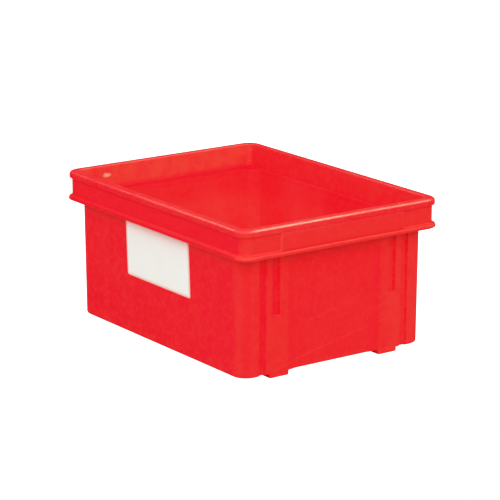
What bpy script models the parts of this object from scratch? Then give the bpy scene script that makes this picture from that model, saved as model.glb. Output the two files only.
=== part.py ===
"""Stackable storage bin, moulded in one piece, with a self-adhesive label on one long side.

Frame: origin at the centre of the footprint on the ground, +Z up.
X runs along the long side, Y along the short side. The labelled side faces -Y.
The two short ends carry the pilasters and the stacking feet.
Lengths are in millimetres, turned into metres by MM. An inset is measured inwards
from the LENGTH x WIDTH rectangle, a drop downwards from the rim's top.
"""
import math

import bmesh
import bpy

MM = 0.001

# ---- overall size -------------------------------------------------------
LENGTH = 400.0           # over the lower rim bead, along X
WIDTH = 300.0            # over the lower rim bead, along Y
HEIGHT = 192.0           # from the ground to the rim's top
FOOT_HEIGHT = 4.5        # the walls end this far above the ground

# ---- rim ----------------------------------------------------------------
RIM_RADIUS = 18.0        # plan radius of the rim's outer corners
RADIUS_PER_INSET = 0.62  # the plan radius shrinks this much per millimetre of inset
LIP_INSET = 1.2          # upper lip, set in from the lower bead
LIP_DROP = 8.6           # underside of the upper lip
SHOULDER = 7.0           # radius of the rim's outer top edge
INNER_SHOULDER = 2.5     # radius of the rim's inner top edge
GROOVE_INSET = 4.2       # band between the lip and the bead
RIM_INNER_INSET = 12.5   # inner face of the rim at its top
SKIRT_INNER_INSET = 6.8  # inner face of the rim's outer skin
LEG_INSET = 9.9          # outer face of the rim's inner leg
CORE_DROP = 4.6          # roof of the channel between skin and leg
LEDGE_DROP = 31.0        # top of the stacking ledge
LEDGE_THICK = 3.0
BEAD_DROP = 38.0         # underside of the bead

LEDGE_TOP = HEIGHT - LEDGE_DROP
LEDGE_UNDER = LEDGE_TOP - LEDGE_THICK
BEAD_UNDER = HEIGHT - BEAD_DROP

# ---- walls and floor ----------------------------------------------------
SIDE_INSET = 12.0        # long walls' outer face below the rim
END_INSET = 18.0         # short walls' outer face (pilasters, corner posts)
DRAFT = 1.0              # extra inset at the foot of every wall
WALL = 2.6               # wall thickness
PANEL_WALL = WALL - 0.1  # nominal thickness behind the end panels
WALL_RADIUS = 18.0       # plan radius of the wall's outer corners
WALL_TOP = LEDGE_UNDER - 1.2
FLOOR_TOP = 8.2          # height of the inside floor
FLOOR_THICK = 2.4
BOTTOM_FILLET = 2.6
INNER_FILLET = 5.0
END_BORDER = 16.0        # standing border's inner edge, from the short walls' outer face
SIDE_BORDER = 12.0       # the same, from the long walls' outer face
BORDER_SLOPE = 1.3       # run from the border up to the lifted underside

# ---- recesses in the two short ends; Y limits are from the centre plane -----
PANEL_DEPTH = 4.0        # how far the end panels lie behind the pilasters
PILASTER_IN = 72.0
PILASTER_OUT = 101.0
RAMP = 18.0              # slope between the end panel and a pilaster
CHANNEL_OUT = 113.0      # outer side of the groove between a pilaster and the corner post
CHANNEL_DEPTH = 3.0
SLOT_IN = 81.8
SLOT_OUT = 93.2
SLOT_DEPTH = 3.8
SLOT_BOTTOM = 77.0
END_FACE = LENGTH / 2 - END_INSET
CUTTER_OUT = END_FACE + 6.0         # cutters reach beyond the end face
CUTTER_TOP = WALL_TOP - 0.8
CUTTER_BOTTOM = FOOT_HEIGHT - 3.0

# ---- filled part of the rim groove on each end --------------------------
GRIP_HALF = 92.0         # half width at its outer face
GRIP_FLARE = 1.7         # extra half width at the groove's face
GRIP_INSET = 1.4
GRIP_BITE = 1.2          # how far it reaches into the rim's skin
GRIP_TOP_DROP = 8.2
GRIP_BOTTOM_DROP = 33.1

# ---- feet ---------------------------------------------------------------
FOOT_IN = 68.3
FOOT_OUT = 96.8
FOOT_RUN = 16.0          # how far a foot reaches under the floor
# height, then how far the foot draws in at its inner X face, outer X face and both Y faces
FOOT_LEVELS = (
    (FLOOR_TOP - 1.0, 0.0, 0.0, 0.0),
    (0.9, 0.6, 0.25, 0.4),
    (0.0, 1.4, 1.0, 1.1),
)

# ---- stiffening inside the rim and under the floor ----------------------
WEB_THICK = 2.0
WEB_PITCH = 40.0
WEB_BITE = 0.7           # overlap with the rim's skin and with the wall
SIDE_WEBS = 9            # on each long side
END_WEBS = 6             # on each short end
FLOOR_RIB = 2.2          # rib thickness
RIB_BITE = 1.0           # overlap with the standing border
RIB_TOP = FLOOR_TOP - 0.8
LONG_RIBS = 2
LONG_RIB_LIFT = 0.15     # underside of the ribs, above the standing border's underside
CROSS_RIBS = 3
CROSS_RIB_LIFT = 0.3

# ---- label --------------------------------------------------------------
LABEL_WIDTH = 139.5
LABEL_HEIGHT = 70.8
LABEL_CENTRE_X = 1.7
LABEL_CENTRE_Z = 116.6
LABEL_RADIUS = 3.0
LABEL_SKEW = 2.6         # shift towards -X over the label's height, going up
FILM_MARGIN = 0.6        # adhesive film showing round the face
GAP = 0.3                # between wall and film, and between film and face
ADHESIVE_THICK = 0.2
LABEL_THICK = 0.35

BIN_CORNER_STEPS = 7     # facets in each corner of the bin's plan
LABEL_CORNER_STEPS = 5
SMOOTH_ANGLE = 32.0      # edges sharper than this many degrees stay sharp

END_TAGS = {1: "a", -1: "b"}  # name endings for the +X and -X ends


# ---- general helpers ----------------------------------------------------
def material(name, colour, roughness, coat=0.0):
    mat = bpy.data.materials.new(name)
    mat.use_nodes = True
    inputs = mat.node_tree.nodes["Principled BSDF"].inputs
    inputs["Base Color"].default_value = (*colour, 1.0)
    inputs["Roughness"].default_value = roughness
    inputs["Metallic"].default_value = 0.0
    inputs["Coat Weight"].default_value = coat
    return mat


def link(name, bm, mat=None, parent=None):
    """Turn a bmesh into a named object in the scene."""
    mesh = bpy.data.meshes.new(name)
    bm.to_mesh(mesh)
    bm.free()
    obj = bpy.data.objects.new(name, mesh)
    bpy.context.scene.collection.objects.link(obj)
    if mat:
        mesh.materials.append(mat)
    obj.parent = parent
    return obj


def rounded_rectangle(half_u, half_v, radius, steps):
    """Points of a rounded rectangle about the origin, anticlockwise."""
    points = []
    for k, (sign_u, sign_v) in enumerate(((1, 1), (-1, 1), (-1, -1), (1, -1))):
        centre_u = sign_u * (half_u - radius)
        centre_v = sign_v * (half_v - radius)
        for i in range(steps + 1):
            angle = (k + i / steps) * math.pi / 2
            points.append((centre_u + radius * math.cos(angle),
                           centre_v + radius * math.sin(angle)))
    return points


def add_ring(bm, points):
    return [bm.verts.new([c * MM for c in point]) for point in points]


def add_solid(bm, rings):
    """A closed solid through rings of millimetre points, capped at both ends."""
    rings = [add_ring(bm, points) for points in rings]
    faces = [bm.faces.new(rings[0]), bm.faces.new(rings[-1])]
    for low, high in zip(rings, rings[1:]):
        for i in range(len(low)):
            j = (i + 1) % len(low)
            faces.append(bm.faces.new((low[i], low[j], high[j], high[i])))
    bmesh.ops.recalc_face_normals(bm, faces=faces)


def prism(bm, outline, place, start, stop):
    """A closed prism: place(u, v, depth) turns an outline point and a depth into x, y, z."""
    add_solid(bm, [[place(u, v, depth) for u, v in outline] for depth in (start, stop)])


def upright(u, v, depth):
    return u, v, depth


def boolean(obj, tool, operation):
    mod = obj.modifiers.new(tool.name, "BOOLEAN")
    mod.operation = operation
    mod.solver = "EXACT"
    mod.object = tool
    tool.hide_render = True
    tool.display_type = "WIRE"


# ---- shell --------------------------------------------------------------
# Each section row is (inset on the short ends, inset on the long sides, plan radius, height).

def draft(z):
    """Extra inset of a wall's face at a height."""
    return DRAFT * (WALL_TOP - z) / (WALL_TOP - FOOT_HEIGHT)


def inner_face(z):
    """Insets of the inside wall on the short ends and on the long sides at a height."""
    return END_INSET + PANEL_DEPTH + PANEL_WALL + draft(z), SIDE_INSET + WALL + draft(z)


def inside_rows():
    """Inside floor, its fillet, the inside wall and the ledge."""
    rows = []
    fillet_end = FLOOR_TOP + INNER_FILLET
    end, side = inner_face(fillet_end)
    radius = WALL_RADIUS - WALL
    for i in range(4):
        angle = math.radians(30 * i)
        back = INNER_FILLET * (1 - math.sin(angle))
        z = FLOOR_TOP + INNER_FILLET * (1 - math.cos(angle))
        rows.append((end + back, side + back, radius - back * 0.5, z))

    # the ledge's rounded nose: (step towards the rim, added radius, drop below the ledge)
    end, side = inner_face(LEDGE_TOP - 0.8)
    for step, grow, drop in ((0.0, 0.0, 0.8), (0.25, 0.2, 0.25), (0.8, 0.6, 0.0)):
        rows.append((end - step, side - step, radius + grow, LEDGE_TOP - drop))

    # foot of the rim's inner face
    low = RIM_INNER_INSET + 0.8
    rows.append((low + 0.8, low + 0.8, RIM_RADIUS - 8.4, LEDGE_TOP))
    rows.append((low, low, RIM_RADIUS - 8.0, LEDGE_TOP + 0.9))
    return rows


def section_arc(centre_inset, centre_z, radius, start, stop, steps):
    """Arc of (inset, height); angles in degrees, 0 points outwards, 90 points up."""
    points = []
    for i in range(steps + 1):
        angle = math.radians(start + (stop - start) * i / steps)
        points.append((centre_inset - radius * math.cos(angle),
                       centre_z + radius * math.sin(angle)))
    return points


def rim_rows():
    """Over the rim's top, down its outer skin and up and down the channel inside it."""
    lip_under = HEIGHT - LIP_DROP
    core_top = HEIGHT - CORE_DROP
    outline = [  # (inset, height)
        # rounded top edges
        *section_arc(RIM_INNER_INSET - INNER_SHOULDER, HEIGHT - INNER_SHOULDER,
                     INNER_SHOULDER, 180, 90, 4),
        *section_arc(LIP_INSET + SHOULDER, HEIGHT - SHOULDER, SHOULDER, 90, 0, 8),
        # lip
        (LIP_INSET, lip_under + 1.5),
        (LIP_INSET + 0.35, lip_under + 0.5),
        (LIP_INSET + 1.0, lip_under),
        # groove
        (GROOVE_INSET - 0.6, lip_under - 0.5),
        (GROOVE_INSET, lip_under - 1.5),
        (GROOVE_INSET, HEIGHT - 29.2),
        (GROOVE_INSET - 0.4, HEIGHT - 30.3),
        (GROOVE_INSET - 1.2, HEIGHT - 31.2),
        # bead
        (1.2, HEIGHT - 32.4),
        (0.3, HEIGHT - 33.4),
        (0.0, BEAD_UNDER + 3.4),
        (0.5, BEAD_UNDER + 1.4),
        (1.8, BEAD_UNDER + 0.25),
        (3.2, BEAD_UNDER),
        # channel between skin and leg
        (SKIRT_INNER_INSET - 1.2, BEAD_UNDER),
        (SKIRT_INNER_INSET - 0.4, BEAD_UNDER + 0.8),
        (SKIRT_INNER_INSET, core_top - 0.8),
        (SKIRT_INNER_INSET + 0.6, core_top),
        (LEG_INSET - 0.6, core_top),
        (LEG_INSET, core_top - 0.8),
        (LEG_INSET + 0.7, LEDGE_UNDER + 1.0),
    ]
    return [(inset, inset, RIM_RADIUS - inset * RADIUS_PER_INSET, z) for inset, z in outline]


def outside_rows():
    """Underside of the ledge, the outside wall, the bottom fillet and the underside."""
    fillet_start = FOOT_HEIGHT + BOTTOM_FILLET
    lean = draft(fillet_start)
    rows = [
        (LEG_INSET + 1.7, LEG_INSET + 1.7, RIM_RADIUS - 6.8, LEDGE_UNDER),
        (END_INSET - 1.2, SIDE_INSET - 1.2, WALL_RADIUS + 0.6, LEDGE_UNDER),
        (END_INSET, SIDE_INSET, WALL_RADIUS, WALL_TOP),
        (END_INSET + lean, SIDE_INSET + lean, WALL_RADIUS, fillet_start),
    ]
    for i in (1, 2, 3):
        angle = math.radians(30 * i)
        back = BOTTOM_FILLET * (1 - math.cos(angle))
        z = FOOT_HEIGHT + BOTTOM_FILLET * (1 - math.sin(angle))
        rows.append((END_INSET + DRAFT + back, SIDE_INSET + DRAFT + back, WALL_RADIUS - back, z))

    # standing border and the lifted middle of the underside
    end, side = END_INSET + END_BORDER, SIDE_INSET + SIDE_BORDER
    rows.append((end, side, 12.0, FOOT_HEIGHT))
    rows.append((end + BORDER_SLOPE, side + BORDER_SLOPE, 11.0, FLOOR_TOP - FLOOR_THICK))
    return rows


def shell():
    bm = bmesh.new()
    rings = []
    for end, side, radius, z in inside_rows() + rim_rows() + outside_rows():
        plan = rounded_rectangle(LENGTH / 2 - end, WIDTH / 2 - side, radius, BIN_CORNER_STEPS)
        rings.append(add_ring(bm, [(x, y, z) for x, y in plan]))
    count = len(rings[0])
    for ring, following in zip(rings, rings[1:]):
        for i in range(count):
            j = (i + 1) % count
            bm.faces.new((ring[i], following[i], following[j], ring[j]))
    bm.faces.new(rings[0])
    bm.faces.new(list(reversed(rings[-1])))
    bmesh.ops.triangulate(bm, faces=bm.faces[:])
    bmesh.ops.recalc_face_normals(bm, faces=bm.faces[:])
    return bm


# ---- details of the short ends; end is 1 for +X and -1 for -X --------------
def panel_cutter(end):
    """Cutter for the middle panel, with a ramp up to the pilaster on each side."""
    bm = bmesh.new()
    lean = DRAFT * 0.5
    deep = END_FACE - lean - PANEL_DEPTH
    flat = PILASTER_IN - RAMP
    edge = flat + RAMP / (PANEL_DEPTH + lean) * (CUTTER_OUT - deep)
    outline = [(end * deep, -flat), (end * CUTTER_OUT, -edge),
               (end * CUTTER_OUT, edge), (end * deep, flat)]
    prism(bm, outline, upright, CUTTER_BOTTOM, CUTTER_TOP)
    return link("panel_cutter_" + END_TAGS[end], bm)


def flared_pair(bm, end, deep, limits, narrow, widen, bottom):
    """Two mirrored grooves, narrower than the Y limits at their floor and wider outside."""
    start, stop = limits
    for side in (1, -1):
        outline = [
            (end * deep, side * (start + narrow)),
            (end * CUTTER_OUT, side * (start - widen)),
            (end * CUTTER_OUT, side * (stop + widen)),
            (end * deep, side * (stop - narrow)),
        ]
        prism(bm, outline, upright, bottom, CUTTER_TOP)


def slot_cutter(end):
    """Cutter for the channels beside the corner posts and the slots in the pilasters."""
    bm = bmesh.new()
    flared_pair(bm, end, END_FACE - DRAFT * 0.5 - CHANNEL_DEPTH, (PILASTER_OUT, CHANNEL_OUT),
                narrow=3.0, widen=3.5, bottom=CUTTER_BOTTOM)
    flared_pair(bm, end, END_FACE - DRAFT * 0.35 - SLOT_DEPTH, (SLOT_IN, SLOT_OUT),
                narrow=1.4, widen=1.6, bottom=SLOT_BOTTOM)
    return link("slot_cutter_" + END_TAGS[end], bm)


def feet(end):
    bm = bmesh.new()
    outer = END_FACE - DRAFT * 0.6
    for side in (1, -1):
        rings = []
        for z, draw_in, draw_out, draw_y in FOOT_LEVELS:
            x0, x1 = outer - FOOT_RUN + draw_in, outer - draw_out
            y0, y1 = FOOT_IN + draw_y, FOOT_OUT - draw_y
            corners = ((x0, y0), (x1, y0), (x1, y1), (x0, y1))
            rings.append([(end * x, side * y, z) for x, y in corners])
        add_solid(bm, rings)
    return link("foot_blocks_" + END_TAGS[end], bm)


def grip(end):
    """The part of the rim groove that is filled nearly flush on one short end."""
    bm = bmesh.new()
    groove = LENGTH / 2 - GROOVE_INSET
    wide = GRIP_HALF + GRIP_FLARE
    half = [(groove - GRIP_BITE, wide), (groove, wide), (LENGTH / 2 - GRIP_INSET, GRIP_HALF)]
    outline = [(end * x, -y) for x, y in half] + [(end * x, y) for x, y in reversed(half)]
    prism(bm, outline, upright, HEIGHT - GRIP_BOTTOM_DROP, HEIGHT - GRIP_TOP_DROP)
    return link("grip_block_" + END_TAGS[end], bm)


# ---- stiffening ---------------------------------------------------------
def rim_webs(along_x):
    """Webs that tie the rim's outer skin to its inner leg, on the long sides or short ends."""
    bm = bmesh.new()
    if along_x:
        count, wall_inset, half = SIDE_WEBS, SIDE_INSET, WIDTH / 2
    else:
        count, wall_inset, half = END_WEBS, END_INSET, LENGTH / 2
    bottom, top = WALL_TOP + 0.1, HEIGHT - 4.0
    outline = [  # (inset, height)
        (SKIRT_INNER_INSET - WEB_BITE, bottom),
        (wall_inset + WEB_BITE, bottom),
        (wall_inset + WEB_BITE, LEDGE_UNDER + 0.6),
        (LEG_INSET + 1.5, LEDGE_UNDER + 2.6),
        (LEG_INSET + 0.8, top),
        (SKIRT_INNER_INSET - WEB_BITE, top),
    ]
    for side in (1, -1):
        for k in range(count):
            centre = (k - (count - 1) / 2) * WEB_PITCH

            def place(inset, z, depth):
                across = side * (half - inset)
                along = centre + depth
                return (along, across, z) if along_x else (across, along, z)

            prism(bm, outline, place, -WEB_THICK / 2, WEB_THICK / 2)
    return link("web_blocks_" + ("x" if along_x else "y"), bm)


def floor_ribs(along_x):
    """Ribs under the lifted middle of the floor, nearly flush with the standing border."""
    bm = bmesh.new()
    half_x = LENGTH / 2 - END_INSET - (END_BORDER - RIB_BITE)
    half_y = WIDTH / 2 - SIDE_INSET - (SIDE_BORDER - RIB_BITE)
    if along_x:
        count, lift, reach = LONG_RIBS, LONG_RIB_LIFT, half_y
    else:
        count, lift, reach = CROSS_RIBS, CROSS_RIB_LIFT, half_x
    pitch = 2 * reach / (count + 1)
    for k in range(count):
        centre = (k + 1) * pitch - reach
        low, high = centre - FLOOR_RIB / 2, centre + FLOOR_RIB / 2
        if along_x:
            x0, x1, y0, y1 = -half_x, half_x, low, high
        else:
            x0, x1, y0, y1 = low, high, -half_y, half_y
        outline = [(x0, y0), (x1, y0), (x1, y1), (x0, y1)]
        prism(bm, outline, upright, FOOT_HEIGHT + lift, RIB_TOP)
    return link("floor_rib_blocks_" + ("x" if along_x else "y"), bm)


# ---- label --------------------------------------------------------------
def label_sheet(name, margin, stand_off, thick, mat, parent):
    """A thin rounded sheet, larger than the label by a margin, that follows the wall's draft."""
    bm = bmesh.new()

    def place(u, v, depth):
        z = LABEL_CENTRE_Z + v
        wall_y = -(WIDTH / 2 - SIDE_INSET - draft(z))
        skew = LABEL_SKEW * v / LABEL_HEIGHT
        return LABEL_CENTRE_X + u - skew, wall_y - depth, z

    outline = rounded_rectangle(LABEL_WIDTH / 2 + margin, LABEL_HEIGHT / 2 + margin,
                                LABEL_RADIUS, LABEL_CORNER_STEPS)
    prism(bm, outline, place, stand_off, stand_off + thick)
    return link(name, bm, mat, parent)


def bin_body(mat, parent):
    body = link("bin_body", shell(), mat, parent)
    for end in (1, -1):
        boolean(body, panel_cutter(end), "DIFFERENCE")
        boolean(body, slot_cutter(end), "DIFFERENCE")
        boolean(body, feet(end), "UNION")
        boolean(body, grip(end), "UNION")
    for along_x in (True, False):
        boolean(body, rim_webs(along_x), "UNION")
        boolean(body, floor_ribs(along_x), "UNION")
    body.data.shade_smooth()
    body.data.set_sharp_from_angle(angle=math.radians(SMOOTH_ANGLE))


def build():
    for obj in list(bpy.data.objects):
        bpy.data.objects.remove(obj)

    red = material("bin_red_polypropylene", colour=(0.78, 0.012, 0.018), roughness=0.34, coat=0.05)
    paper = material("label_white_face", colour=(0.86, 0.84, 0.80), roughness=0.62)
    film = material("label_adhesive_film", colour=(0.80, 0.76, 0.68), roughness=0.45)

    root = bpy.data.objects.new("storage_bin", None)
    bpy.context.scene.collection.objects.link(root)

    bin_body(red, root)
    label_sheet("label_adhesive", FILM_MARGIN, GAP, ADHESIVE_THICK, film, root)
    label_sheet("label_face", 0.0, GAP * 2 + ADHESIVE_THICK, LABEL_THICK, paper, root)


build()
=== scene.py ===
"""Stackable storage bin: the fine surface, the materials and the studio.

The bin stands on z = 0, centred on the z axis. Its long sides face +Y and -Y, its short ends +X
and -X, and the label is on the -Y side. The body is one red polypropylene moulding, made as a
dense swept skin with real fillets. Lengths in the shape functions are millimetres and MM turns
them into metres; lengths in the materials and the studio are metres.
"""
import functools
import math

import bmesh
import bpy
from mathutils import Matrix, Vector


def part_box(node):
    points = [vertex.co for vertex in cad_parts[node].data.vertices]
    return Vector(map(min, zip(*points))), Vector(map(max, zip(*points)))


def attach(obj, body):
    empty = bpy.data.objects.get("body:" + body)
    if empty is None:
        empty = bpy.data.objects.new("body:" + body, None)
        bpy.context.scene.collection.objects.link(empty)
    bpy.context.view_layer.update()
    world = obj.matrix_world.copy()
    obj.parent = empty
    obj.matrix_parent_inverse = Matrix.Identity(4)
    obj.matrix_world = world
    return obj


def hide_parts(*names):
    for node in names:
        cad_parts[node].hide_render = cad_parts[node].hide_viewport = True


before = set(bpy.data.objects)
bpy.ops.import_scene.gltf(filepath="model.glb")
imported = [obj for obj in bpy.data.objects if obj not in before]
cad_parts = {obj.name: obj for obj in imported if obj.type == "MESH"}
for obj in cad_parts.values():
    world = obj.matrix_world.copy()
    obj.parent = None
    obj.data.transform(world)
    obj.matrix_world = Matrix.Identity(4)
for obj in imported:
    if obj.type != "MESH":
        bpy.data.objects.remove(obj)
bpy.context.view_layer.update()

MM = 0.001
BODY_LOW, BODY_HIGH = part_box("bin_body")
FACE_LOW, FACE_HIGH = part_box("label_face")

# ---- overall sizes; an inset is measured inwards from the outermost plan rectangle ----
LENGTH = (BODY_HIGH.x - BODY_LOW.x) / MM
WIDTH = (BODY_HIGH.y - BODY_LOW.y) / MM
HEIGHT = BODY_HIGH.z / MM
FOOT_HEIGHT = 4.5

# ---- rim; a drop is measured down from the top ----
RIM_RADIUS = 18.0
RIM_RADIUS_LOSS = 0.62       # plan radius lost per millimetre of inset
LIP_INSET = 1.2
LIP_DROP = 8.6
GROOVE_INSET = 4.2
RIM_INNER_INSET = 12.5
SKIRT_INNER_INSET = 6.8
LEG_INSET = 9.9
HOLLOW_DROP = 4.6            # top of the hollow between skirt and leg
LEDGE_Z = HEIGHT - 31.0
LEDGE_THICK = 3.0
LEDGE_UNDER = LEDGE_Z - LEDGE_THICK
BEAD_Z = HEIGHT - 38.0

# ---- walls and floor ----
SIDE_INSET = 12.0
END_INSET = 18.0
DRAFT = 1.0
WALL = 2.6
WALL_RADIUS = 18.0
WALL_TOP = LEDGE_UNDER - 1.2
FLOOR_TOP = 8.2
FLOOR_UNDER = FLOOR_TOP - 2.4
BOTTOM_FILLET = 2.6
INNER_FILLET = 5.0

# ---- relief of the short ends; IN and OUT are distances from the centre line ----
PANEL_DEPTH = 4.0
PILASTER_IN = 72.0
PILASTER_OUT = 101.0
RAMP = 18.0
CHANNEL_OUT = 113.0
CHANNEL_DEPTH = 3.0
SLOT_IN = 81.8
SLOT_OUT = 93.2
SLOT_DEPTH = 3.8
SLOT_BOTTOM = 77.0
RELIEF_EXTRA = 0.5           # added to the panel and channel depths before the draft comes off
SLOT_EXTRA = 0.35
GRIP_HALF = 92.0
GRIP_INSET = 1.4

# ---- feet, webs and ribs ----
FOOT_IN = 68.3
FOOT_OUT = 96.8
FOOT_RUN = 16.0
WEB_THICK = 2.0
WEB_PITCH = 40.0
SIDE_WEBS = 9
END_WEBS = 6
FLOOR_RIB = 2.2
LONG_RIBS = 2
CROSS_RIBS = 3

# ---- label ----
LABEL_SKEW = 2.6             # the sheet is cut this much off square over its height
LABEL_WIDTH = 139.5
LABEL_X = (FACE_HIGH.x + FACE_LOW.x) / 2 / MM
LABEL_LOW = FACE_LOW.z / MM
LABEL_HIGH = FACE_HIGH.z / MM
LABEL_HEIGHT = LABEL_HIGH - LABEL_LOW
LABEL_Z = (LABEL_HIGH + LABEL_LOW) / 2
LABEL_RADIUS = 3.0
FILM_MARGIN = 0.6

# ---- facets in a quarter circle ----
PLAN_ARC = 18
FOOT_ARC = 4
LABEL_ARC = 8


# ================= shared mesh helpers ==================================================

QUADRANTS = ((1, 1), (-1, 1), (-1, -1), (1, -1))


def corner_arc(quadrant, centre_u, centre_v, radius, facets):
    points = []
    for i in range(facets + 1):
        angle = (quadrant + i / facets) * math.pi / 2
        points.append((centre_u + radius * math.cos(angle), centre_v + radius * math.sin(angle)))
    return points


def loft(bm, rings, along_first):
    """Quads between rings; along_first says whether a face's first edge follows its ring."""
    count = len(rings[0])
    for a, b in zip(rings, rings[1:]):
        for i in range(count):
            j = (i + 1) % count
            bm.faces.new((a[i], a[j], b[j], b[i]) if along_first else (a[i], b[i], b[j], a[j]))


def link(name, bm):
    mesh = bpy.data.meshes.new(name)
    bm.to_mesh(mesh)
    bm.free()
    obj = bpy.data.objects.new(name, mesh)
    bpy.context.scene.collection.objects.link(obj)
    return obj


def link_closed(name, bm):
    bmesh.ops.recalc_face_normals(bm, faces=bm.faces[:])
    return link(name, bm)


def prism(bm, outline, place, start, stop):
    """An outline of (u, v) carried from start to stop; place(u, v, t) gives x, y, z."""
    low = [bm.verts.new([c * MM for c in place(u, v, start)]) for u, v in outline]
    high = [bm.verts.new([c * MM for c in place(u, v, stop)]) for u, v in outline]
    faces = [bm.faces.new(low), bm.faces.new(high)]
    for i in range(len(outline)):
        j = (i + 1) % len(outline)
        faces.append(bm.faces.new((low[i], low[j], high[j], high[i])))
    bmesh.ops.recalc_face_normals(bm, faces=faces)


# ================= relief of the short ends =============================================

def draft(z):
    """How far the outer wall leans in at height z."""
    return DRAFT * (WALL_TOP - z) / (WALL_TOP - FOOT_HEIGHT)


def smooth(start, stop, value):
    t = min(1.0, max(0.0, (value - start) / (stop - start)))
    return t * t * (3.0 - 2.0 * t)


def broken_line(points, x):
    if x <= points[0][0]:
        return points[0][1]
    for (x0, y0), (x1, y1) in zip(points, points[1:]):
        if x <= x1:
            return y0 + (y1 - y0) * (x - x0) / (x1 - x0)
    return points[-1][1]


def softened(points, x, half):
    """A broken line whose corners are rounded over 2 * half."""
    samples = 12
    total = 0.0
    for i in range(samples):
        total += broken_line(points, x + half * (2 * (i + 0.5) / samples - 1))
    return total / samples


# (distance from the centre line, share of the full depth)
PANEL_LINE = [(0, 1.0), (PILASTER_IN - RAMP, 1.0), (PILASTER_IN, 0.0), (200, 0.0)]
CHANNEL_LINE = [
    (0, 0.0), (PILASTER_OUT + 0.6, 0.0), (PILASTER_OUT + 2.8, 1.0),
    (CHANNEL_OUT - 2.9, 1.0), (CHANNEL_OUT - 0.7, 0.0), (200, 0.0),
]
SLOT_LINE = [
    (0, 0.0), (SLOT_IN - 0.2, 0.0), (SLOT_IN + 2.2, 1.0),
    (SLOT_OUT - 2.2, 1.0), (SLOT_OUT + 0.2, 0.0), (200, 0.0),
]
# plain stations between the turns of the relief
PLAIN_STATIONS = (8, 16, 24, 32, 40, 47, 60, 65, 76, 79, 87, 96, 98.5, 115.5, 117.5)
LEAST_GAP = 0.3


def end_stations():
    """Stations across a short end: close together where the relief turns."""
    # (distance of the turn, reach to either side, stations in that reach)
    turns = [(at, 1.7, 3) for at, _ in PANEL_LINE[1:-1]]
    turns += [(at, 0.8, 2) for at, _ in SLOT_LINE[1:-1] + CHANNEL_LINE[1:-1]]
    turns += [(GRIP_HALF - 1.0, 0.9, 2), (GRIP_HALF + 0.8, 0.9, 2)]
    stations = {float(at) for at in PLAIN_STATIONS}
    for at, reach, count in turns:
        for i in range(-count, count + 1):
            stations.add(round(at + reach * i / count, 3))
    kept = []
    for at in sorted(stations):
        if not kept or at - kept[-1] > LEAST_GAP:
            kept.append(at)
    return [-at for at in reversed(kept)] + [0.0] + kept


END_STATIONS = end_stations()
SIDE_STATIONS = [-160.0 + 16.0 * i for i in range(21)]
# distance from the centre line -> shares of the panel, channel and slot depths
RELIEF = {
    at: (softened(PANEL_LINE, at, 1.5), softened(CHANNEL_LINE, at, 0.7),
         softened(SLOT_LINE, at, 0.8))
    for at in {abs(station) for station in END_STATIONS}
}


# ================= the body's skin ======================================================

def ring(end_inset, side_inset, radius, z, tag):
    """One level of the skin: a rounded rectangle whose short ends carry the relief."""
    half_x, half_y = LENGTH / 2 - end_inset, WIDTH / 2 - side_inset
    fit_end = min(1.0, (half_y - radius - 0.3) / END_STATIONS[-1])
    fit_side = min(1.0, (half_x - radius - 2.0) / SIDE_STATIONS[-1])
    lean = draft(z)
    fade = 1.0 - smooth(WALL_TOP - 1.8, WALL_TOP, z)
    slot_fade = smooth(SLOT_BOTTOM - 0.9, SLOT_BOTTOM + 0.9, z)

    def end_x(distance):
        if tag == "wall":
            panel, channel, slot = RELIEF[distance]
            depth = max(
                panel * (PANEL_DEPTH + RELIEF_EXTRA - lean),
                channel * (CHANNEL_DEPTH + RELIEF_EXTRA - lean),
                slot * slot_fade * (SLOT_DEPTH + SLOT_EXTRA - lean),
            )
            return half_x - depth * fade
        if tag == "groove":
            share = 1.0 - smooth(GRIP_HALF - 1.0, GRIP_HALF + 1.0, distance)
            return half_x + share * max(0.0, end_inset - GRIP_INSET)
        return half_x

    points = []
    for k, (sign_x, sign_y) in enumerate(QUADRANTS):
        centre_x, centre_y = sign_x * (half_x - radius), sign_y * (half_y - radius)
        points += corner_arc(k, centre_x, centre_y, radius, PLAN_ARC)
        # the straight run after the corner heads towards -x or -y first, then +x or +y
        way = -1 if k < 2 else 1
        if k % 2 == 0:
            points += [(way * at * fit_side, -way * half_y) for at in SIDE_STATIONS]
        else:
            points += [(way * end_x(abs(at)), way * at * fit_end) for at in END_STATIONS]
    return points


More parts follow.
